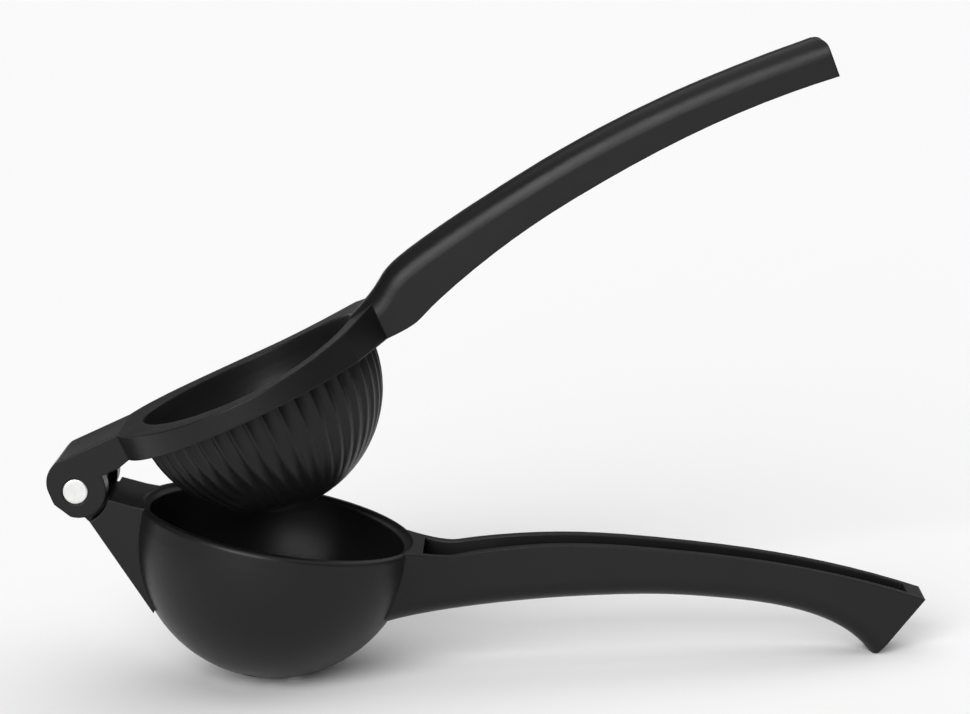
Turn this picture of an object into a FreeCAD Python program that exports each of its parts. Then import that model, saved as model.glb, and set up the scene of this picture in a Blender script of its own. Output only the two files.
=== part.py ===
import FreeCAD, Part
import math
import os
from types import SimpleNamespace

import Sketcher

# A hinged lemon squeezer: a bowl arm, a press arm that swings into the bowl, and the hinge pin.
#
# Both arms are drawn closed, in the bowl arm's frame: the origin is the centre of the bowl's rim,
# +X runs along the handles, +Y across them and +Z up out of the bowl.
# The placements at the end open the press arm and stand the squeezer on its bowl and handle tip.

# Every driving size is a cell of the sheet, in millimetres, degrees or counts.
DRIVING_SIZES = [
    # Bowl
    ("bowl_radius", 37.0, "outside radius of the bowl"),
    ("bowl_wall", 3.0, "thickness of the bowl's wall"),
    ("rim_height", 5.1, "rim above the centre of the bowl's round part"),
    ("rim_round", 1.2, "rounding of the rim's outer edge"),
    ("mouth_reach", 2.0, "widening of the mouth towards the handle and the lug"),
    ("mouth_side", 0.4, "widening of the mouth at its sides"),
    ("mouth_depth", 6.0, "depth at which the mouth's oval would close"),
    ("drain_hole_radius", 1.7, "radius of each drain hole"),
    ("drain_inner_circle", 7.0, "radius of the inner circle of drain holes"),
    ("drain_outer_circle", 13.5, "radius of the outer circle of drain holes"),
    ("drain_inner_count", 6, "holes on the inner circle"),
    ("drain_outer_count", 12, "holes on the outer circle"),
    # Hinge
    ("pin_reach", 52.7, "pin axis behind the bowl's centre"),
    ("pin_height", 1.1, "pin axis above the rim"),
    ("pin_radius", 3.4, "radius of the pin"),
    ("pin_chamfer", 0.3, "chamfer on the pin's ends"),
    ("pin_clearance", 0.05, "radial running clearance in the barrel"),
    ("hinge_width", 26.0, "width over the two ears"),
    ("ear_thickness", 5.0, "thickness of one ear"),
    ("ear_radius", 7.3, "radius of the ears' round end"),
    ("ear_offset", 0.8, "ears' centre ahead of the pin"),
    ("ear_flat_from", 187.0, "start of the flat on the ears' lower back corner"),
    ("ear_flat_to", 228.0, "end of that flat"),
    ("barrel_wall", 2.5, "wall of the barrel round the pin"),
    ("hinge_side_gap", 0.3, "gap between the barrel and each ear"),
    ("hinge_round_gap", 0.6, "gap between a turning round and its hollow"),
    ("lug_height", 0.6, "top of the lug above the rim at the hinge"),
    ("lug_back_angle", 56.0, "lower corner of the lug round the pin"),
    ("lug_foot_reach", 27.6, "foot of the lug behind the bowl's centre"),
    ("lug_foot_depth", 27.5, "foot of the lug below the rim"),
    ("web_depth", 10.8, "foot of the lug's web below the rim"),
    # Press ring and hinge plate
    ("ring_radius", 38.5, "outside radius of the press ring"),
    ("ring_gap", 2.9, "underside of the ring above the rim when closed"),
    ("ring_height", 5.1, "height of the ring at its middle"),
    ("plate_height", 7.3, "height of the hinge plate above the ring's underside"),
    ("plate_reach", 36.0, "front of the level hinge plate behind the centre"),
    ("plate_corner_reach", 6.4, "start of the plate's rounded back corner behind the pin"),
    ("plate_corner_top", 0.8, "end of that corner on top, behind the pin"),
    ("plate_corner_height", 2.4, "start of that corner above the pin"),
    ("plate_corner_radius", 6.8, "radius of that corner"),
    ("plate_underside", 3.4, "underside of the plate's back edge above the pin"),
    ("arm_underside", 1.95, "underside of the ears' arms above the rim when closed"),
    ("arm_reach", 39.6, "where that underside starts to rise to the ring, behind the centre"),
    ("neck_height", 9.9, "height of the ring where the handle starts"),
    ("neck_reach", 37.6, "start of the press handle ahead of the centre"),
    ("facet_angle", 38.0, "where the ring turns straight towards the neck"),
    # Press dome
    ("dome_radius", 33.0, "outside radius of the dome"),
    ("dome_wall", 2.5, "thickness of the dome's wall"),
    ("dome_height", 4.3, "centre of the dome above the rim"),
    ("flute_trios", 15, "sets of three flutes round the dome"),
    ("flute_depth", 1.2, "depth of a flute at the ring"),
    ("flute_radius", 2.7, "radius of a flute's hollow"),
    ("flute_fade", 1.35, "drop of the flutes' path below the dome's centre"),
    # Line between the two handles
    ("handle_reach", 171.2, "end of the handles ahead of the centre"),
    ("handle_gap", 4.8, "gap between the handles when closed"),
    ("knee_gap", 3.4, "the same gap where the handles turn upwards"),
    ("knee_reach", 46.4, "where the handles turn upwards"),
    ("knee_height", 1.0, "shaping point above that turn, above the rim"),
    ("root_overlap", 1.0, "start of the handles' line inside the bowl's outline"),
    ("rise_reach", 72.0, "first shaping point of the handles"),
    ("rise_height", 8.8, "its height above the rim"),
    ("middle_reach", 102.0, "second shaping point of the handles"),
    ("middle_height", 12.3, "its height above the rim"),
    ("crest_reach", 145.0, "third shaping point of the handles"),
    ("crest_height", 14.6, "its height above the rim"),
    ("end_height", 11.0, "height of the bowl handle's end above the rim"),
    # Bowl handle
    ("root_width", 26.0, "width of the bowl handle inside the bowl's outline"),
    ("root_reach", 34.0, "start of the bowl handle's taper"),
    ("taper_width", 19.0, "shaping width of the taper"),
    ("taper_reach", 40.0, "shaping point of the taper"),
    ("handle_width", 14.2, "width of the bowl handle"),
    ("end_width", 13.0, "width of both handles at their ends"),
    ("root_depth", 19.3, "depth of the handle's underside at the bowl"),
    ("belly_reach", 63.0, "first shaping point of the underside"),
    ("belly_depth", 9.8, "its depth below the rim"),
    ("waist_reach", 95.0, "second shaping point of the underside"),
    ("waist_depth", 2.3, "its depth below the rim"),
    ("arch_reach", 113.0, "third shaping point of the underside"),
    ("arch_height", 0.7, "its height above the rim"),
    ("hook_length", 13.5, "length over which the underside hooks down"),
    ("hook_angle", 42.0, "slope of the hooked tip's underside"),
    ("end_slope", 61.6, "slope of the bowl handle's end face"),
    ("tip_depth", 6.5, "hooked tip below the rim"),
    ("tip_round", 1.6, "rounding of the hooked tip"),
    ("channel_start", 39.0, "start of the bowl handle's channel"),
    ("channel_depth", 16.0, "depth of the channel below the rim at its start"),
    ("channel_rise", 1.0, "rise of the channel's floor before its end"),
    ("channel_end_slope", 76.0, "slope of the channel's closed end"),
    # Press handle
    ("press_width", 15.0, "width of the press handle at the neck"),
    ("crown_reach", 29.0, "start of the crown inside the ring's outline"),
    ("crown_start_height", 10.9, "crown above the rim at its start"),
    ("crown_neck_reach", 42.0, "first shaping point of the crown"),
    ("crown_neck_height", 15.6, "its height above the rim"),
    ("crown_turn_reach", 38.8, "second shaping point of the crown"),
    ("crown_turn_height", 19.2, "its height above the rim"),
    ("crown_rise_reach", 77.5, "third shaping point of the crown"),
    ("crown_rise_height", 25.6, "its height above the rim"),
    ("crown_middle_reach", 111.0, "fourth shaping point of the crown"),
    ("crown_middle_height", 29.6, "its height above the rim"),
    ("crown_crest_reach", 144.0, "fifth shaping point of the crown"),
    ("crown_end_height", 26.9, "crown above the rim at the handle's end"),
    ("crown_end_slope", 5.4, "fall of the crown at the handle's end"),
    ("crown_end_round", 3.0, "rounding of the press handle's upper end corner"),
    ("press_end_slope", 86.0, "slope of the press handle's end face"),
    ("press_channel_start", 44.0, "start of the hollow under the press handle"),
    ("press_channel_height", 15.2, "roof of that hollow above the rim at its start"),
    # Walls and roundings
    ("handle_wall", 2.4, "thickness of the handles' side walls"),
    ("handle_floor", 3.0, "thickness of the handles between the side walls"),
    ("end_wall", 6.8, "floor or roof left at the closed end of each channel"),
    ("press_end_wall", 3.4, "wall left at the foot of the press handle's closed end"),
    ("handle_round", 5.4, "rounding of the handles' long outer edges"),
    # Pose
    ("opening_angle", 35.1, "opening of the press arm as it stands"),
]

SHEET_NAME = "sizes"


class Size:
    """A size that carries its number and the formula that ties it to the sheet."""

    def __init__(self, number, formula):
        self.number = number
        self.formula = formula

    def __add__(self, other):
        other = as_size(other)
        return Size(self.number + other.number, f"({self.formula} + {other.formula})")

    def __radd__(self, other):
        return as_size(other) + self

    def __sub__(self, other):
        other = as_size(other)
        return Size(self.number - other.number, f"({self.formula} - {other.formula})")

    def __rsub__(self, other):
        return as_size(other) - self

    def __mul__(self, other):
        other = as_size(other)
        return Size(self.number * other.number, f"({self.formula} * {other.formula})")

    def __rmul__(self, other):
        return as_size(other) * self

    def __truediv__(self, other):
        other = as_size(other)
        return Size(self.number / other.number, f"({self.formula} / {other.formula})")

    def __rtruediv__(self, other):
        return as_size(other) / self

    def __neg__(self):
        return Size(-self.number, f"(0 - {self.formula})")


def as_size(value):
    if isinstance(value, Size):
        return value
    return Size(float(value), f"{float(value)}")


def root(size):
    return Size(math.sqrt(size.number), f"sqrt({size.formula})")


def sine(angle):
    return Size(math.sin(math.radians(angle.number)), f"sin({angle.formula})")


def cosine(angle):
    return Size(math.cos(math.radians(angle.number)), f"cos({angle.formula})")


def other_leg(longest, leg):
    """The second leg of a right triangle, such as a half chord at a known distance."""
    return root(longest * longest - leg * leg)


def slope_angle(rise, run):
    number = math.degrees(math.atan(rise.number / run.number))
    return Size(number, f"(atan({rise.formula} / {run.formula}) / (1 deg))")


def angle_of_sine(ratio):
    return Size(math.degrees(math.asin(ratio.number)), f"(asin({ratio.formula}) / (1 deg))")


class Outline:
    """A closed outline, drawn edge by edge, whose corners and radii are bound to the sheet."""

    def __init__(self, x, y):
        self.corners = [(as_size(x), as_size(y))]
        self.edges = []

    def line(self, x, y):
        self.edges.append(("line",))
        self.corners.append((as_size(x), as_size(y)))
        return self

    def arc(self, x, y, radius, turn):
        """An arc under a half circle; a turn of 1 runs counterclockwise and -1 clockwise."""
        self.edges.append(("arc", as_size(radius), turn))
        self.corners.append((as_size(x), as_size(y)))
        return self

    def curve(self, *poles):
        """A smooth curve from the last corner that its poles pull along, ending at the last pole."""
        poles = [(as_size(x), as_size(y)) for x, y in poles]
        self.edges.append(("curve", poles[:-1]))
        self.corners.append(poles[-1])
        return self

    def closing_arc(self, radius, turn):
        """Close the outline with an arc instead of a line."""
        self.edges.append(("arc", as_size(radius), turn))
        return self

    def draw(self, sketch):
        """Add the outline to a sketch, closing it with a line unless an arc closes it."""
        edges = self.edges + [("line",)]
        corners = self.corners + [self.corners[0]]
        placed = []
        for edge, start, end in zip(edges, corners[:-1], corners[1:]):
            placed.append(self.add_edge(sketch, edge, start, end))
        for index, (geometry, first, last) in enumerate(placed):
            following, following_first, following_last = placed[(index + 1) % len(placed)]
            sketch.addConstraint(
                Sketcher.Constraint("Coincident", geometry, last, following, following_first)
            )
            x, y = corners[index]
            bind(sketch, "DistanceX", (geometry, first), x)
            bind(sketch, "DistanceY", (geometry, first), y)

    def add_edge(self, sketch, edge, start, end):
        """Add one edge and return its index with the point numbers of its start and end."""
        if edge[0] == "line":
            return sketch.addGeometry(Part.LineSegment(point(start), point(end))), 1, 2
        if edge[0] == "arc":
            radius, turn = edge[1:]
            middle = arc_middle(point(start), point(end), radius.number, turn)
            geometry = sketch.addGeometry(Part.Arc(point(start), middle, point(end)))
            bind(sketch, "Radius", (geometry,), radius)
            if turn > 0:
                return geometry, 1, 2
            return geometry, 2, 1
        poles = edge[1]
        spline = Part.BSplineCurve()
        spline.buildFromPoles([point(pole) for pole in [start] + poles + [end]], False, 3)
        geometry = sketch.addGeometry(spline)
        first_pole = sketch.GeometryCount
        sketch.exposeInternalGeometry(geometry)
        for index, (x, y) in enumerate(poles, start=1):
            bind(sketch, "DistanceX", (first_pole + index, 3), x)
            bind(sketch, "DistanceY", (first_pole + index, 3), y)
        return geometry, 1, 2


def point(corner):
    return FreeCAD.Vector(corner[0].number, corner[1].number, 0)


def arc_middle(start, end, radius, turn):
    """The middle of an arc under a half circle between two points."""
    chord = end - start
    left = FreeCAD.Vector(-chord.y, chord.x, 0).normalize()
    centre_distance = math.sqrt(radius**2 - (chord.Length / 2) ** 2)
    return (start + end) / 2 - left * turn * (radius - centre_distance)


def bind(sketch, kind, where, size):
    """Add a dimension to a sketch and tie it to the sheet."""
    index = sketch.addConstraint(Sketcher.Constraint(kind, *where, size.number))
    sketch.setExpression(f"Constraints[{index}]", size.formula)


def tie(thing, **properties):
    """Set properties and tie them to the sheet; a double underscore stands for a dot."""
    for name, size in properties.items():
        size = as_size(size)
        thing.setExpression(name.replace("__", "."), size.formula)


doc = FreeCAD.newDocument("lemon_squeezer")


def write_sheet():
    sheet = doc.addObject("Spreadsheet::Sheet", SHEET_NAME)
    for row, (alias, number, note) in enumerate(DRIVING_SIZES, start=1):
        sheet.set(f"A{row}", note)
        sheet.set(f"B{row}", str(number))
        sheet.setAlias(f"B{row}", alias)
    doc.recompute()
    sizes = {alias: Size(number, f"{SHEET_NAME}.{alias}") for alias, number, note in DRIVING_SIZES}
    return SimpleNamespace(**sizes)


size = write_sheet()

SIDE = FreeCAD.Rotation(FreeCAD.Vector(1, 0, 0), 90)

# How far the tools run past the metal that they cut.
CLEAR = 8.0

# Degrees that each flute's tool runs down the dome, to where it has faded out, and up past the ring.
FLUTE_SWEEP = 66
FLUTE_OVERRUN = 8


def side_prism(name, outline, width):
    """An outline in X and Z, extruded evenly to both sides of the middle plane."""
    sketch = doc.addObject("Sketcher::SketchObject", f"{name}_side")
    sketch.Placement = FreeCAD.Placement(FreeCAD.Vector(), SIDE)
    outline.draw(sketch)
    prism = doc.addObject("Part::Extrusion", name)
    prism.Base = sketch
    prism.DirMode = "Normal"
    prism.Solid = True
    prism.Symmetric = True
    tie(prism, LengthFwd=width)
    return prism


def plan_prism(name, outline, low, high):
    """An outline in X and Y, extruded from one height to another."""
    sketch = doc.addObject("Sketcher::SketchObject", f"{name}_plan")
    outline.draw(sketch)
    tie(sketch, Placement__Base__z=low)
    prism = doc.addObject("Part::Extrusion", name)
    prism.Base = sketch
    prism.DirMode = "Normal"
    prism.Solid = True
    tie(prism, LengthFwd=high - low)
    return prism


def turned(name, outline):
    """An outline in X and Z, turned round the Z axis."""
    sketch = doc.addObject("Sketcher::SketchObject", f"{name}_half")
    sketch.Placement = FreeCAD.Placement(FreeCAD.Vector(), SIDE)
    outline.draw(sketch)
    solid = doc.addObject("Part::Revolution", name)
    solid.Source = sketch
    solid.Axis = FreeCAD.Vector(0, 0, 1)
    solid.Angle = 360
    solid.Solid = True
    return solid


def cross_cylinder(name, radius, width):
    """A cylinder along Y round the pin's axis, even to both sides of the middle plane."""
    cylinder = doc.addObject("Part::Cylinder", name)
    cylinder.Placement = FreeCAD.Placement(FreeCAD.Vector(), SIDE)
    tie(cylinder, Radius=radius, Height=width)
    tie(cylinder, Placement__Base__x=pin_x, Placement__Base__y=width / 2, Placement__Base__z=pin_z)
    return cylinder


def fused(name, *shapes):
    fuse = doc.addObject("Part::MultiFuse", name)
    fuse.Shapes = list(shapes)
    return fuse


def shared(name, *shapes):
    common = doc.addObject("Part::MultiCommon", name)
    common.Shapes = list(shapes)
    return common


def without(name, base, *tools):
    cut = doc.addObject("Part::Cut", name)
    cut.Base = base
    cut.Tool = tools[0] if len(tools) == 1 else fused(f"{name}_tools", *tools)
    return cut


def rounded(name, base, edge_numbers, radius):
    fillet = doc.addObject("Part::Fillet", name)
    fillet.Base = base
    fillet.Edges = [(number, radius.number, radius.number) for number in edge_numbers]
    return fillet


def new_body(name):
    return doc.addObject("PartDesign::Body", name)


def body_sketch(body, name, plane):
    sketch = body.newObject("Sketcher::SketchObject", name)
    for feature in body.Origin.OriginFeatures:
        if feature.Role == plane:
            sketch.AttachmentSupport = [(feature, "")]
    sketch.MapMode = "FlatFace"
    return sketch


def polar_pattern(body, name, feature, axis_sketch, axis, count):
    pattern = body.newObject("PartDesign::PolarPattern", name)
    pattern.Originals = [feature]
    pattern.Axis = (axis_sketch, [axis])
    pattern.Angle = 360
    tie(pattern, Occurrences=count)
    body.Tip = pattern
    return pattern


def long_edges(shape, highest):
    """The two longest edges along the handle, the upper or the lower pair."""
    lengths = [(edge.Length, number) for number, edge in enumerate(shape.Edges, start=1)]
    longest = [number for length, number in sorted(lengths)[-4:]]
    longest.sort(key=lambda number: shape.Edges[number - 1].CenterOfMass.z)
    return longest[2:] if highest else longest[:2]


# Places that several pieces share.
pin_x = -size.pin_reach
pin_z = size.pin_height
ear_x = pin_x + size.ear_offset
barrel_radius = size.pin_radius + size.pin_clearance + size.barrel_wall
barrel_width = size.hinge_width - 2 * size.ear_thickness - 2 * size.hinge_side_gap
ear_socket = size.ear_radius + size.ear_offset + size.hinge_round_gap
plate_top = size.ring_gap + size.plate_height
ring_top = size.ring_gap + size.ring_height
neck_top = size.ring_gap + size.neck_height
inner_bowl = size.bowl_radius - size.bowl_wall
inner_dome = size.dome_radius - size.dome_wall
tip_z = size.tip_round - size.tip_depth
tip_x = (
    size.handle_reach
    - (size.end_height - tip_z) * cosine(size.end_slope) / sine(size.end_slope)
    - size.tip_round / sine(size.end_slope)
)


def on_circle(centre_x, centre_z, radius, angle):
    return centre_x + radius * cosine(angle), centre_z + radius * sine(angle)


def meeting_line(first_height, knee_lift, lift):
    """Poles of the line along which the handles face each other, lifted for the upper one."""
    return [
        (size.knee_reach, first_height),
        (size.knee_reach, size.knee_height + knee_lift),
        (size.rise_reach, size.rise_height + knee_lift),
        (size.middle_reach, size.middle_height + lift),
        (size.crest_reach, size.crest_height + lift),
        (size.handle_reach, size.end_height + lift),
    ]


def bowl_blank():
    """The bowl's outside, solid, with its drain holes."""
    body = new_body("bowl_blank")
    half = body_sketch(body, "bowl_half", "XZ_Plane")
    Outline(0, -size.rim_height - size.bowl_radius).arc(
        size.bowl_radius, -size.rim_height, size.bowl_radius, 1
    ).line(size.bowl_radius, -size.rim_round).arc(
        size.bowl_radius - size.rim_round, 0, size.rim_round, 1
    ).line(0, 0).draw(half)
    solid = body.newObject("PartDesign::Revolution", "bowl_outside")
    solid.Profile = half
    solid.ReferenceAxis = (half, ["V_Axis"])
    solid.Angle = 360
    circles = [
        ("centre", as_size(0), None),
        ("inner", size.drain_inner_circle, size.drain_inner_count),
        ("outer", size.drain_outer_circle, size.drain_outer_count),
    ]
    for name, reach, count in circles:
        sketch = body_sketch(body, f"drain_{name}_circle", "XY_Plane")
        hole = sketch.addGeometry(
            Part.Circle(point((reach, as_size(0))), FreeCAD.Vector(0, 0, 1), size.drain_hole_radius.number)
        )
        bind(sketch, "Radius", (hole,), size.drain_hole_radius)
        bind(sketch, "DistanceX", (hole, 3), reach)
        bind(sketch, "DistanceY", (hole, 3), as_size(0))
        pocket = body.newObject("PartDesign::Pocket", f"drain_{name}")
        pocket.Profile = sketch
        pocket.Type = "ThroughAll"
        if count:
            polar_pattern(body, f"drain_{name}_ring", pocket, sketch, "N_Axis", count)
    # The inner holes are staggered, which leaves metal where the bowl stands on the table.
    tie(doc.drain_inner_circle, AttachmentOffset__Rotation__Angle=180 / size.drain_inner_count)
    return body


def hollow(name, radius, centre_z):
    """A round-bottomed hollow with upright walls above its centre."""
    top = centre_z + size.bowl_radius
    outline = Outline(0, centre_z - radius).arc(radius, centre_z, radius, 1).line(radius, top)
    return turned(name, outline.line(0, top))


def mouth():
    """The bowl's eased inner edge, wider along the handles than across them."""
    oval = doc.addObject("Part::Ellipsoid", "bowl_mouth")
    tie(oval, Radius1=size.mouth_depth, Radius2=inner_bowl + size.mouth_reach)
    tie(oval, Radius3=inner_bowl + size.mouth_side)
    return oval


def lug():
    """The lug behind the bowl, hollowed round the ears, its web and the barrel between the ears."""
    socket_top = pin_x + other_leg(ear_socket, size.lug_height - pin_z), size.lug_height
    socket_foot = on_circle(pin_x, pin_z, ear_socket, -size.lug_back_angle)
    outline = Outline(*socket_foot).line(-size.lug_foot_reach, -size.lug_foot_depth)
    outline.line(-size.lug_foot_reach, 0).line(-size.bowl_radius, 0).line(*socket_top)
    outline.closing_arc(ear_socket, -1)
    block = side_prism("lug_block", outline, size.hinge_width)
    web_front = pin_x + ear_socket + size.hinge_round_gap
    web = Outline(pin_x, pin_z - barrel_radius).line(web_front, -size.web_depth)
    web.line(web_front, size.lug_height).line(pin_x, size.lug_height)
    web_block = side_prism("lug_web", web, barrel_width)
    barrel = cross_cylinder("barrel", barrel_radius, barrel_width)
    return fused("lug", block, web_block, barrel)


def bowl_handle():
    """The lower handle: its side outline shared with its plan, rounded below and cut at the tip."""
    tip_start = on_circle(tip_x, tip_z, size.tip_round, -90 - size.hook_angle)
    end_start = on_circle(tip_x, tip_z, size.tip_round, size.end_slope - 90)
    hook = (
        tip_start[0] - size.hook_length * cosine(size.hook_angle),
        tip_start[1] + size.hook_length * sine(size.hook_angle),
    )
    past_tip = (
        tip_start[0] + CLEAR * cosine(size.hook_angle),
        tip_start[1] - CLEAR * sine(size.hook_angle),
    )
    inside = size.root_reach - CLEAR
    side = Outline(inside, -size.root_depth).line(size.root_reach, -size.root_depth)
    side.curve(
        (size.belly_reach, -size.belly_depth),
        (size.waist_reach, -size.waist_depth),
        (size.arch_reach, size.arch_height),
        hook,
        tip_start,
    )
    side.line(*past_tip).line(size.handle_reach + CLEAR, past_tip[1])
    side.line(size.handle_reach + CLEAR, size.end_height).line(size.handle_reach, size.end_height)
    top = meeting_line(0, 0, 0)
    side.curve(*reversed(top[:-1]), (size.bowl_radius - size.root_overlap, 0)).line(inside, 0)
    profile = side_prism("bowl_handle_profile", side, size.root_width)
    plan = plan_prism(
        "bowl_handle_plan_block",
        handle_plan(as_size(0)),
        -size.root_depth - 2 * CLEAR,
        size.crest_height + CLEAR,
    )
    blank = shared("bowl_handle_blank", profile, plan)
    doc.recompute()
    smooth = rounded(
        "bowl_handle_smooth", blank, long_edges(blank.Shape, highest=False), size.handle_round
    )
    far = size.handle_reach + 3 * CLEAR
    low = -size.root_depth - CLEAR
    high = size.crest_height + CLEAR
    rise = high - end_start[1]
    end_top = (end_start[0] + rise * cosine(size.end_slope) / sine(size.end_slope), high)
    tip = Outline(*tip_start).arc(*end_start, size.tip_round, 1).line(*end_top)
    tip.line(far, high).line(far, low).line(tip_start[0], low)
    trim = side_prism("bowl_handle_end", tip, size.root_width + CLEAR)
    return without("bowl_handle", smooth, trim)


def handle_plan(inset):
    """The bowl handle seen from above, or its channel when inset by the wall."""
    half = [
        (size.root_reach, size.root_width / 2 - inset),
        (size.taper_reach, size.taper_width / 2 - inset),
        (size.belly_reach, size.handle_width / 2 - inset),
        (size.waist_reach, size.handle_width / 2 - inset),
        (size.handle_reach + 2 * CLEAR, size.end_width / 2 - inset),
    ]
    mirrored = [(x, -y) for x, y in half]
    inside = size.root_reach - CLEAR
    outline = Outline(inside, mirrored[0][1]).line(*mirrored[0]).curve(*mirrored[1:])
    outline.line(*half[-1]).curve(*reversed(half[:-1]))
    return outline.line(inside, half[0][1])


def bowl_channel():
    """The open channel along the top of the bowl handle."""
    floor = size.handle_floor
    end_x = size.handle_reach - size.end_wall
    end_z = floor + size.arch_height
    high = size.crest_height + CLEAR
    side = Outline(size.channel_start, -size.channel_depth)
    side.curve(
        (size.belly_reach, floor - size.belly_depth),
        (size.waist_reach, floor - size.waist_depth),
        (size.arch_reach, end_z),
        (size.crest_reach, end_z + size.channel_rise),
        (end_x, end_z),
    )
    side.line(end_x + (high - end_z) / tangent(size.channel_end_slope), high)
    side.line(size.channel_start, high)
    profile = side_prism("bowl_channel_profile", side, size.root_width)
    plan = plan_prism(
        "bowl_channel_plan_block", handle_plan(size.handle_wall), -size.root_depth, high
    )
    return shared("bowl_channel", profile, plan)


def bowl_arm():
    cast = fused("bowl_arm_cast", bowl_blank(), lug(), bowl_handle())
    bore = cross_cylinder("barrel_bore", size.pin_radius + size.pin_clearance, size.hinge_width)
    cavity = hollow("bowl_hollow", inner_bowl, -size.rim_height)
    return without("bowl_arm", cast, cavity, mouth(), bowl_channel(), bore)


def press_dome():
    """The dome that enters the bowl, with flutes that fade out towards its pole."""
    body = new_body("press_dome")
    half = body_sketch(body, "dome_half", "XZ_Plane")
    Outline(0, size.dome_height - size.dome_radius).arc(
        size.dome_radius, size.dome_height, size.dome_radius, 1
    ).line(0, size.dome_height).draw(half)
    solid = body.newObject("PartDesign::Revolution", "dome_outside")
    solid.Profile = half
    solid.ReferenceAxis = (half, ["V_Axis"])
    solid.Angle = 360
    # Neighbouring tools would cross below the dome, so every third flute is cut at a time.
    path = size.dome_radius + size.flute_radius - size.flute_depth
    for turn in range(3):
        start = body_sketch(body, f"flute_start_{turn}", "XY_Plane")
        tool = Outline(path, size.flute_radius).arc(path - size.flute_radius, 0, size.flute_radius, 1)
        tool.arc(path, -size.flute_radius, size.flute_radius, 1).draw(start)
        tie(start, AttachmentOffset__Base__z=size.dome_height - size.flute_fade)
        tie(start, AttachmentOffset__Rotation__Angle=turn * 120 / size.flute_trios)
        flute = body.newObject("PartDesign::Groove", f"flute_{turn}")
        flute.Profile = start
        flute.ReferenceAxis = (start, ["V_Axis"])
        flute.Type = "TwoAngles"
        flute.Angle = FLUTE_SWEEP
        flute.Angle2 = FLUTE_OVERRUN
        polar_pattern(body, f"flutes_{turn}", flute, start, "N_Axis", size.flute_trios)
    return body


def press_frame():
    """The ring, the front of the hinge plate and the neck."""
    half_hinge = size.hinge_width / 2
    half_neck = size.press_width / 2
    ring_back = -other_leg(size.ring_radius, half_hinge)
    facet = on_circle(as_size(0), as_size(0), size.ring_radius, size.facet_angle)
    back = pin_x + ear_socket
    side = Outline(back, size.ring_gap).line(size.neck_reach, size.ring_gap)
    side.line(size.neck_reach, neck_top)
    side.arc(0, ring_top, sag_radius(size.neck_reach, neck_top - ring_top), -1)
    side.arc(-size.plate_reach, plate_top, sag_radius(size.plate_reach, plate_top - ring_top), -1)
    side.line(back, plate_top)
    profile = side_prism("press_frame_profile", side, 2 * size.ring_radius + CLEAR)
    plan = Outline(back, -half_hinge).line(ring_back, -half_hinge)
    plan.arc(facet[0], -facet[1], size.ring_radius, 1).line(size.neck_reach, -half_neck)
    plan.line(size.neck_reach, half_neck).line(facet[0], facet[1])
    plan.arc(ring_back, half_hinge, size.ring_radius, 1).line(back, half_hinge)
    block = plan_prism("press_frame_plan_block", plan, as_size(0), neck_top + CLEAR)
    return shared("press_frame", profile, block)


def sag_radius(reach, rise):
    """The radius of an arc that starts level and rises by a given height over a reach."""
    return (reach * reach + rise * rise) / (2 * rise)


def hinge_block():
    """The two ears and the plate that bridges them, before the gap between the ears."""
    low_front = ear_x + other_leg(size.ear_radius, size.arm_underside - pin_z), size.arm_underside
    flat_end = on_circle(ear_x, pin_z, size.ear_radius, size.ear_flat_to)
    flat_start = on_circle(ear_x, pin_z, size.ear_radius, size.ear_flat_from)
    back = ear_x - size.ear_radius, pin_z
    corner_low = pin_x - size.plate_corner_reach, pin_z + size.plate_corner_height
    corner_top = pin_x - size.plate_corner_top, plate_top
    front = -size.plate_reach - size.ear_thickness
    side = Outline(*low_front).line(-size.arm_reach, size.arm_underside)
    side.line(-size.plate_reach, size.ring_gap).line(front, plate_top)
    side.line(*corner_top).arc(*corner_low, size.plate_corner_radius, 1).line(*back)
    side.arc(*flat_start, size.ear_radius, 1).line(*flat_end)
    side.closing_arc(size.ear_radius, 1)
    return side_prism("hinge_block", side, size.hinge_width)


def hinge_gap():
    """The space between the ears, round the barrel and open below and behind."""
    space = barrel_radius + size.hinge_round_gap
    arc_back = pin_x - other_leg(space, size.plate_underside), pin_z + size.plate_underside
    arc_front = pin_x + other_leg(space, size.ring_gap - pin_z), size.ring_gap
    far_back = pin_x - size.ear_radius - CLEAR
    low = -size.ear_radius - CLEAR
    front = -size.plate_reach
    side = Outline(far_back, low).line(front, low).line(front, size.ring_gap).line(*arc_front)
    side.arc(*arc_back, space, 1).line(far_back, arc_back[1])
    return side_prism("hinge_gap", side, size.hinge_width - 2 * size.ear_thickness)


def press_plan(inset):
    """The press handle seen from above, or its hollow when inset by the wall."""
    start = size.crown_reach
    end = size.handle_reach + 2 * CLEAR
    half_start = size.press_width / 2 - inset
    half_end = size.end_width / 2 - inset
    outline = Outline(start, -half_start).line(size.rise_reach, -half_start).line(end, -half_end)
    return outline.line(end, half_end).line(size.rise_reach, half_start).line(start, half_start)


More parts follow.
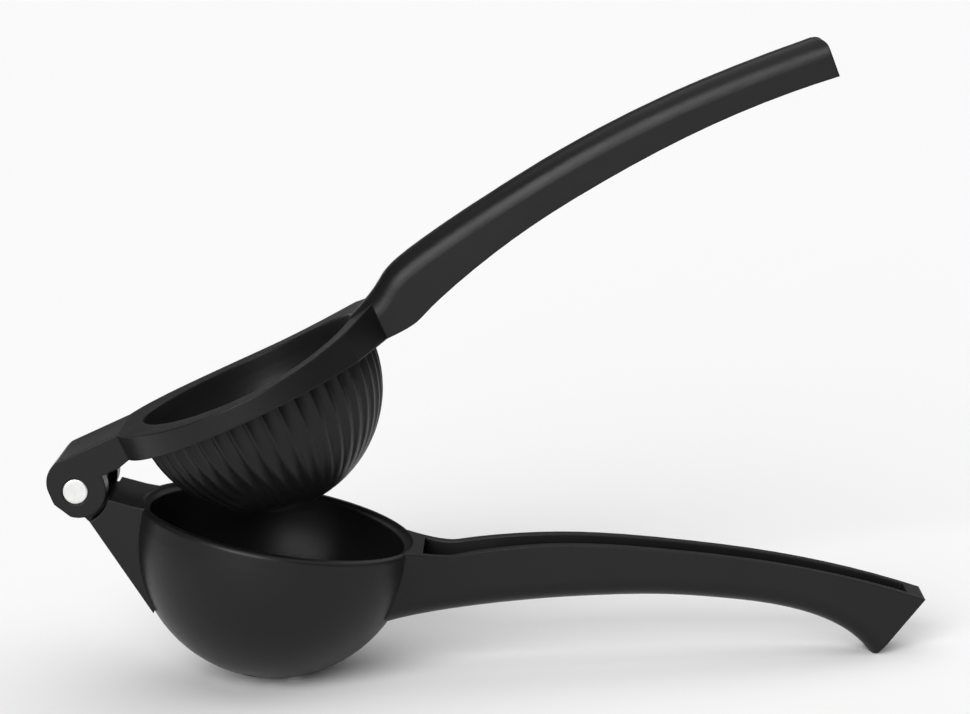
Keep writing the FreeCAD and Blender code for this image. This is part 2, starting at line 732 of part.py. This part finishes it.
def press_handle():
    """The upper handle: its side outline shared with its plan, with a rounded crown."""
    lift = size.handle_gap
    end_x = size.handle_reach + CLEAR
    crest_fall = (size.handle_reach - size.crown_crest_reach) * tangent(size.crown_end_slope)
    past_fall = CLEAR * tangent(size.crown_end_slope)
    side = Outline(size.crown_reach, size.ring_gap)
    side.line(size.bowl_radius - size.root_overlap, size.ring_gap)
    side.curve(*meeting_line(size.ring_gap, size.knee_gap, lift))
    side.line(end_x, size.end_height + lift).line(end_x, size.crown_end_height - past_fall)
    side.line(size.handle_reach, size.crown_end_height)
    side.curve(
        (size.crown_crest_reach, size.crown_end_height + crest_fall),
        (size.crown_middle_reach, size.crown_middle_height),
        (size.crown_rise_reach, size.crown_rise_height),
        (size.crown_turn_reach, size.crown_turn_height),
        (size.crown_neck_reach, size.crown_neck_height),
        (size.crown_reach, size.crown_start_height),
    )
    profile = side_prism("press_handle_profile", side, size.press_width + CLEAR)
    high = size.crown_middle_height + CLEAR
    plan = plan_prism("press_handle_plan_block", press_plan(as_size(0)), as_size(0), high)
    blank = shared("press_handle_blank", profile, plan)
    doc.recompute()
    smooth = rounded(
        "press_handle_smooth", blank, long_edges(blank.Shape, highest=True), size.handle_round
    )
    return without("press_handle", smooth, press_handle_end())


def tangent(angle):
    return sine(angle) / cosine(angle)


def press_handle_end():
    """What is cut away past the press handle's end face and its rounded upper corner."""
    far = size.handle_reach + 3 * CLEAR
    high = size.crown_middle_height + CLEAR
    radius = size.crown_end_round
    centre_x = size.handle_reach - radius
    centre_z = size.crown_end_height - radius
    crown_point = on_circle(centre_x, centre_z, radius, 90 - size.crown_end_slope)
    face_point = on_circle(centre_x, centre_z, radius, size.press_end_slope - 90)
    drop = face_point[1]
    face_foot = face_point[0] - drop / tangent(size.press_end_slope), as_size(0)
    outline = Outline(*face_foot).line(far, 0).line(far, high).line(crown_point[0], high)
    outline.line(*crown_point).arc(*face_point, radius, -1)
    return side_prism("press_handle_end", outline, size.press_width + CLEAR)


def press_channel():
    """The hollow under the press handle, open below."""
    floor = size.handle_floor
    end_x = size.handle_reach - size.end_wall
    start_x = size.press_channel_start
    crest_fall = (size.handle_reach - size.crown_crest_reach) * tangent(size.crown_end_slope)
    side = Outline(start_x, 0).line(size.handle_reach - size.press_end_wall, 0)
    side.line(end_x, size.crown_end_height - floor)
    side.curve(
        (size.crown_crest_reach, size.crown_end_height + crest_fall - floor),
        (size.crown_middle_reach, size.crown_middle_height - floor),
        (size.crown_rise_reach, size.crown_rise_height - floor),
        (size.crown_turn_reach + size.handle_round, size.crown_turn_height - floor),
        (start_x, size.press_channel_height),
    )
    profile = side_prism("press_channel_profile", side, size.press_width)
    high = size.crown_middle_height + CLEAR
    plan = plan_prism("press_channel_plan_block", press_plan(size.handle_wall), as_size(0), high)
    return shared("press_channel", profile, plan)


def press_arm():
    cast = fused("press_arm_cast", press_dome(), press_frame(), hinge_block(), press_handle())
    bore = cross_cylinder("ear_bores", size.pin_radius, size.hinge_width + CLEAR)
    cavity = hollow("dome_hollow", inner_dome, size.dome_height)
    return without("press_arm", cast, hinge_gap(), cavity, press_channel(), bore)


def hinge_pin():
    """A plain pin, flush with the ears, with a small chamfer at each end."""
    body = new_body("hinge_pin")
    half = size.hinge_width / 2
    sketch = body_sketch(body, "pin_half", "YZ_Plane")
    outline = Outline(-half, 0).line(half, 0).line(half, size.pin_radius - size.pin_chamfer)
    outline.line(half - size.pin_chamfer, size.pin_radius)
    outline.line(size.pin_chamfer - half, size.pin_radius)
    outline.line(-half, size.pin_radius - size.pin_chamfer)
    outline.draw(sketch)
    solid = body.newObject("PartDesign::Revolution", "pin")
    solid.Profile = sketch
    solid.ReferenceAxis = (sketch, ["H_Axis"])
    solid.Angle = 360
    return body


def stand(arm, press, pin):
    """Open the press arm and stand the squeezer on its bowl and the handle's tip."""
    tip_up = tip_z + size.rim_height
    tip_distance = root(tip_x * tip_x + tip_up * tip_up)
    drop = size.bowl_radius - size.tip_round
    tilt = angle_of_sine(drop / tip_distance) + slope_angle(tip_up, tip_x)
    lean = size.opening_angle - tilt
    base_x = size.rim_height * sine(tilt)
    base_z = size.bowl_radius + size.rim_height * cosine(tilt)
    axis_x = base_x + pin_x * cosine(tilt) + pin_z * sine(tilt)
    axis_z = base_z - pin_x * sine(tilt) + pin_z * cosine(tilt)
    place(arm, base_x, base_z, 1, tilt)
    place(
        press,
        axis_x - pin_x * cosine(lean) + pin_z * sine(lean),
        axis_z - pin_x * sine(lean) - pin_z * cosine(lean),
        -1,
        lean,
    )
    place(pin, axis_x, axis_z, -1, lean)
    print(f"tilt {tilt.number:.3f} axis {axis_x.number:.3f} {axis_z.number:.3f}")


def place(thing, x, z, sense, angle):
    """Turn a piece about Y and move it to its place in the standing squeezer."""
    axis = FreeCAD.Vector(0, sense, 0)
    thing.Placement = FreeCAD.Placement(
        FreeCAD.Vector(x.number, 0, z.number), FreeCAD.Rotation(axis, angle.number)
    )
    tie(thing, Placement__Base__x=x, Placement__Base__z=z, Placement__Rotation__Angle=angle)


def check(pieces):
    """Stop if any object failed or any piece isn't one valid solid."""
    for thing in doc.Objects:
        if "Invalid" in thing.State or "Error" in thing.State:
            raise RuntimeError(f"{thing.Name} failed: {thing.State} {thing.getStatusString()}")
    for piece in pieces:
        shape = piece.Shape
        if shape.isNull() or not shape.isValid() or len(shape.Solids) != 1:
            raise RuntimeError(f"{piece.Label} isn't one valid solid")


def main():
    arm = bowl_arm()
    press = press_arm()
    pin = hinge_pin()
    stand(arm, press, pin)
    doc.recompute()
    pieces = [arm, press, pin]
    check(pieces)
    os.makedirs("parts", exist_ok=True)
    for piece in pieces:
        piece.Shape.exportStep(f"parts/{piece.Label}.step")
        print(f"{piece.Label}: {piece.Shape.Volume / 1000:.1f} cm3")


main()
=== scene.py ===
import math

import bpy
from mathutils import Euler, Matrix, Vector


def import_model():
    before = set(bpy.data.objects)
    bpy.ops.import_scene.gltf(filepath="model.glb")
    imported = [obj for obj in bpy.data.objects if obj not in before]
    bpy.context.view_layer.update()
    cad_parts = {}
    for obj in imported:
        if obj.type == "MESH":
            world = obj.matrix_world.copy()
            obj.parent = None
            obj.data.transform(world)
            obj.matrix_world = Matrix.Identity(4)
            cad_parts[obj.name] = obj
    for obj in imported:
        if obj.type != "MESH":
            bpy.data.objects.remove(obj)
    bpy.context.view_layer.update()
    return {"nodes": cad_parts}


# A hinged lemon squeezer in black satin coating, with a bare steel hinge pin.
# Everything is in metres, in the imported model's own frame.

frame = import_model()

# The camera's place, turn and lens were fitted to the photograph's outline of the bowl and ears.
CAMERA_LOCATION = Vector((0.0740, -0.7074, 0.2174))
CAMERA_TURN = Euler((math.radians(79.262), math.radians(2.592), math.radians(0.834)), "XYZ")
CAMERA_LENS = 102.24
CAMERA_CLIP = 0.01
SENSOR_WIDTH = 36.0

FLOOR_SIZE = 40.0
FLOOR_WHITE = 0.93
SURROUND_STRENGTH = 0.08

# Each lamp is a wide sun: the direction it shines from, its width in degrees, and its strength.
KEY = (Vector((-0.35, -1.0, 0.5)), 45, 3.0)
FILL = (Vector((0.3, 0.2, 1.0)), 100, 1.8)

COATING_BLACK = (0.0062, 0.0062, 0.0066, 1)
STEEL_GREY = (0.72, 0.72, 0.71, 1)

# How strongly the coating mirrors when seen head-on; 0.5 is ordinary lacquer.
COATING_MIRROR = 0.24

# Uneven gloss: the lowest and highest roughness.
COATING_GLOSS = (0.33, 0.41)
STEEL_GLOSS = (0.3, 0.42)

# The patches that the gloss varies over: how many to the metre, and octaves of detail.
COATING_PATCHES = (60, 4)
STEEL_PATCHES = (1500, 2)

# Fine relief: grains to the metre, octaves of detail, strength, and height in metres.
ORANGE_PEEL = (900, 3, 0.1, 0.0002)
TURNING_MARKS = (2500, 2, 0.08, 0.0001)

# Edges are shaded as if rounded to this radius, in metres.
EDGE_ROUNDING = 0.0007
EDGE_SAMPLES = 6

# Noise mostly lies between these.
NOISE_LOW = 0.3
NOISE_HIGH = 0.7


def new_material(name):
    """A material with nodes, and its shader."""
    material = bpy.data.materials.new(name)
    material.use_nodes = True
    return material, material.node_tree.nodes["Principled BSDF"]


def add_node(material, kind, **settings):
    node = material.node_tree.nodes.new(kind)
    for name, value in settings.items():
        setattr(node, name, value)
    return node


def link(material, source, target):
    material.node_tree.links.new(source, target)


def noise(material, scale, detail):
    """Noise in the object's own metres."""
    place = add_node(material, "ShaderNodeTexCoord")
    texture = add_node(material, "ShaderNodeTexNoise")
    texture.inputs["Scale"].default_value = scale
    texture.inputs["Detail"].default_value = detail
    link(material, place.outputs["Object"], texture.inputs["Vector"])
    return texture.outputs["Fac"]


def uneven_gloss(material, shader, patches, gloss):
    """Roughness that varies from patch to patch."""
    factor = noise(material, *patches)
    mapping = add_node(material, "ShaderNodeMapRange")
    mapping.inputs["From Min"].default_value = NOISE_LOW
    mapping.inputs["From Max"].default_value = NOISE_HIGH
    mapping.inputs["To Min"].default_value = gloss[0]
    mapping.inputs["To Max"].default_value = gloss[1]
    link(material, factor, mapping.inputs["Value"])
    link(material, mapping.outputs["Result"], shader.inputs["Roughness"])


def relief(material, shader, grains, detail, strength, height):
    """Fine relief over edges that look slightly rounded."""
    bumps = noise(material, grains, detail)
    edges = add_node(material, "ShaderNodeBevel", samples=EDGE_SAMPLES)
    edges.inputs["Radius"].default_value = EDGE_ROUNDING
    node = add_node(material, "ShaderNodeBump")
    node.inputs["Strength"].default_value = strength
    node.inputs["Distance"].default_value = height
    link(material, bumps, node.inputs["Height"])
    link(material, edges.outputs["Normal"], node.inputs["Normal"])
    link(material, node.outputs["Normal"], shader.inputs["Normal"])


def coated_casting():
    """Black satin coating on a casting: fine orange peel and a slightly uneven gloss."""
    material, shader = new_material("coated_casting")
    shader.inputs["Base Color"].default_value = COATING_BLACK
    shader.inputs["Specular IOR Level"].default_value = COATING_MIRROR
    uneven_gloss(material, shader, COATING_PATCHES, COATING_GLOSS)
    relief(material, shader, *ORANGE_PEEL)
    return material


def pin_steel():
    """Turned bare steel."""
    material, shader = new_material("pin_steel")
    shader.inputs["Base Color"].default_value = STEEL_GREY
    shader.inputs["Metallic"].default_value = 1
    uneven_gloss(material, shader, STEEL_PATCHES, STEEL_GLOSS)
    relief(material, shader, *TURNING_MARKS)
    return material


def dress_nodes():
    """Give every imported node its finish."""
    coating = coated_casting()
    steel = pin_steel()
    for name, node in frame["nodes"].items():
        finish = steel if name == "hinge_pin" else coating
        for slot in node.material_slots:
            slot.material = finish


def floor():
    """A white table that fills the camera's view."""
    bpy.ops.mesh.primitive_plane_add(size=FLOOR_SIZE)
    plane = bpy.context.object
    plane.name = "floor"
    material, shader = new_material("floor")
    shader.inputs["Base Color"].default_value = (FLOOR_WHITE, FLOOR_WHITE, FLOOR_WHITE, 1)
    shader.inputs["Roughness"].default_value = 1
    shader.inputs["Specular IOR Level"].default_value = 0
    plane.data.materials.append(material)


def world():
    """A dim even surround."""
    surround = bpy.data.worlds.new("surround")
    bpy.context.scene.world = surround
    surround.use_nodes = True
    background = surround.node_tree.nodes["Background"]
    background.inputs["Color"].default_value = (1, 1, 1, 1)
    background.inputs["Strength"].default_value = SURROUND_STRENGTH


def wide_sun(name, place, width, strength):
    """A soft-edged sun, which lights the whole table evenly."""
    lamp = bpy.data.lights.new(name, "SUN")
    lamp.angle = math.radians(width)
    lamp.energy = strength
    holder = bpy.data.objects.new(name, lamp)
    holder.location = place
    holder.rotation_euler = (-place).to_track_quat("-Z", "Y").to_euler()
    bpy.context.collection.objects.link(holder)


def camera():
    lens = bpy.data.cameras.new("camera")
    lens.sensor_width = SENSOR_WIDTH
    lens.lens = CAMERA_LENS
    lens.clip_start = CAMERA_CLIP
    holder = bpy.data.objects.new("camera", lens)
    holder.location = CAMERA_LOCATION
    holder.rotation_euler = CAMERA_TURN
    bpy.context.collection.objects.link(holder)
    bpy.context.scene.camera = holder


dress_nodes()
floor()
world()
wide_sun("key", *KEY)
wide_sun("fill", *FILL)
camera()
bpy.context.scene.view_settings.view_transform = "Standard"
